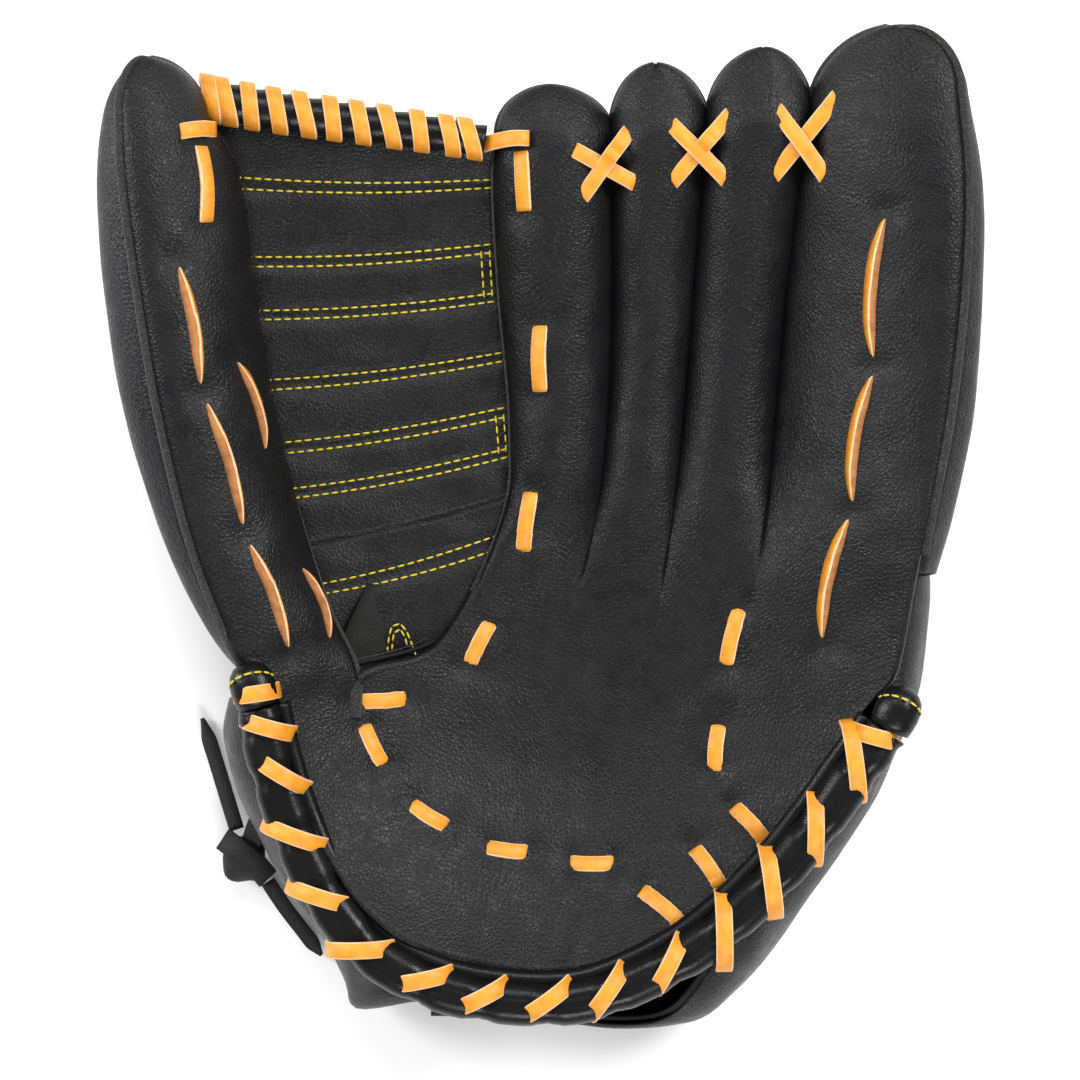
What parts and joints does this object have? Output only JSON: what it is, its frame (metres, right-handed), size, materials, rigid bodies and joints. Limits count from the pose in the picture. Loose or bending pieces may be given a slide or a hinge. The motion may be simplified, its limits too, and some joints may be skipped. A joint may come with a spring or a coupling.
{
  "type": "baseball fielding glove",
  "caption": "Black leather fielder's glove for the left hand, lying open on its back, with a closed stitched web, golden laces and a hinged thumb side.",
  "frame": {"origin": "middle of the glove's box, on the surface that its back rests on", "axes": "+Z out of the catching face, +Y along the fingers from the heel to the tips, -X to the thumb"},
  "size_m": [0.2729, 0.311, 0.0911],
  "materials": {
    "leather": "satin pebbled grain",
    "binding": "semi-gloss smooth",
    "lace": "waxed satin",
    "tie_lace": "satin",
    "welt": "suede",
    "lining": "matte",
    "felt": "matte felt",
    "fleece": "fleece",
    "plate": "matte"
  },
  "bodies": {
    "palm": {"index_front": "leather", "index_back": "leather", "index_welt": "welt", "index_lining": "lining", "middle_front": "leather", "middle_back": "leather", "middle_welt": "welt", "middle_lining": "lining", "ring_front": "leather", "ring_back": "leather", "ring_welt": "welt", "ring_lining": "lining", "pinky_front": "leather", "pinky_back": "leather", "pinky_welt": "welt", "pinky_lining": "lining", "pinky_stiffener": "plate", "palm_leather": "leather", "palm_pad": "felt", "palm_lining": "lining", "back_leather": "leather", "back_lining": "lining", "heel_roll": "binding", "heel_lace": "lace", "pinky_heel_cap": "binding", "index_lace": "lace", "pinky_lace": "lace", "pocket_lace": "lace", "heel_stitch_lace": "lace", "index_middle_lace": "lace", "middle_ring_lace": "lace", "ring_pinky_lace": "lace"},
    "thumb_side": {"thumb_front": "leather", "thumb_back": "leather", "thumb_welt": "welt", "thumb_lining": "lining", "thumb_stiffener": "plate", "thumb_palm_leather": "leather", "thumb_heel_pad": "felt", "thumb_palm_lining": "lining", "thumb_back_leather": "leather", "thumb_back_lining": "lining", "thumb_heel_roll": "binding", "thumb_heel_lace": "lace", "thumb_heel_cap": "binding", "thumb_lace": "lace", "web_side_lace": "lace", "thumb_pocket_lace": "lace", "web_front_panel": "leather", "web_back_panel": "leather", "web_top_roll": "leather", "web_top_lace": "lace", "strap_tab": "leather", "strap_knot": "tie_lace", "knot_tail_upper": "tie_lace", "knot_tail_lower": "tie_lace"},
    "wrist_strap": {"wrist_strap": "leather", "wrist_strap_lining": "fleece"}
  },
  "joints": [
    {"name": "pocket_fold", "type": "hinge", "parent": "palm", "child": "thumb_side", "pos_m": [-0.011, 0, 0.052], "axis": [0, 1, 0], "range_deg": [0, 40]},
    {"name": "strap_cinch", "type": "hinge", "parent": "palm", "child": "wrist_strap", "pos_m": [0.0412, -0.1415, 0.0048], "axis": [0, 1, 0], "range_deg": [0, 12]}
  ]
}
